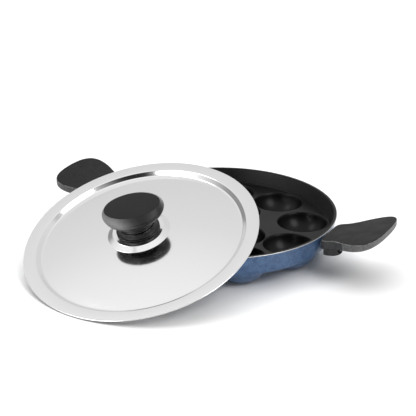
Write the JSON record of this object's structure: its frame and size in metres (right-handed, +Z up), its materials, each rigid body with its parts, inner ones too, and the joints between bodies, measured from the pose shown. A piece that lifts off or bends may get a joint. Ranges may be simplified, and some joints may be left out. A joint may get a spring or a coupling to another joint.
{
  "type": "paniyaram pan",
  "caption": "Round cast pan with rings of ball-shaped cavities, flared side grips screwed to its wall, and a loose domed steel lid with an oval knob, leaning on the rim.",
  "frame": {"origin": "on the table, in the middle of the box around the pan and its leaning lid", "axes": "+X along the grips, +Z up from the table, +Y from the leaning lid towards the far side of the pan"},
  "size_m": [0.338, 0.3056, 0.0775],
  "materials": {
    "pan_coat": "metallic blue coat outside, black non-stick coat inside, bare rim",
    "bakelite": "matte black bakelite",
    "lid_steel": "mirror-polished stainless sheet",
    "fixing_steel": "plain zinc-plated",
    "stud_aluminium": "satin",
    "insert_brass": "machined"
  },
  "bodies": {
    "pan": {"pan_body": "pan_coat", "right_grip": "bakelite", "right_stud": "stud_aluminium", "right_grip_screw": "fixing_steel", "right_grip_washer": "fixing_steel", "right_grip_spring_washer": "fixing_steel", "left_grip": "bakelite", "left_stud": "stud_aluminium", "left_grip_screw": "fixing_steel", "left_grip_washer": "fixing_steel", "left_grip_spring_washer": "fixing_steel"},
    "lid": {"lid_plate": "lid_steel", "knob_collar": "bakelite", "lid_knob": "bakelite", "knob_insert": "insert_brass", "knob_screw": "fixing_steel", "knob_washer": "fixing_steel", "knob_spring_washer": "fixing_steel"}
  },
  "joints": [
    {"name": "lid_lift", "type": "slide", "parent": "pan", "child": "lid", "axis": [0, 0, 1], "range_m": [0, 0.15]}
  ]
}
